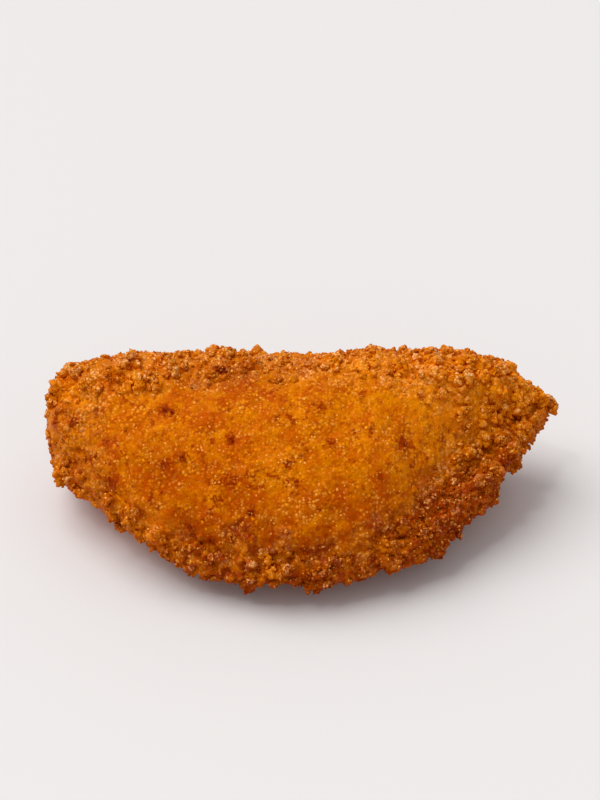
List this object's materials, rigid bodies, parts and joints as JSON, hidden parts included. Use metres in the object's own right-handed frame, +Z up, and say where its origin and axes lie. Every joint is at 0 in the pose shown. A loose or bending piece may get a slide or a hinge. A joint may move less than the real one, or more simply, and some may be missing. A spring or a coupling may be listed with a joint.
{
  "type": "rissole",
  "caption": "Half-moon turnover in fried breadcrumbs, with a plump belly, a curved sealed rim, a blunt end and a pointed end.",
  "frame": {"origin": "on the table, under the middle of the bounding box", "axes": "+X along the fold from the blunt end to the pointed end, +Y from the sealed rim to the fold, +Z up"},
  "size_m": [0.099, 0.05, 0.0329],
  "materials": {
    "crust": "golden-orange fried breadcrumbs, rough, with a slight sheen of oil"
  },
  "bodies": {
    "root": {"rissole": "crust"}
  },
  "joints": []
}
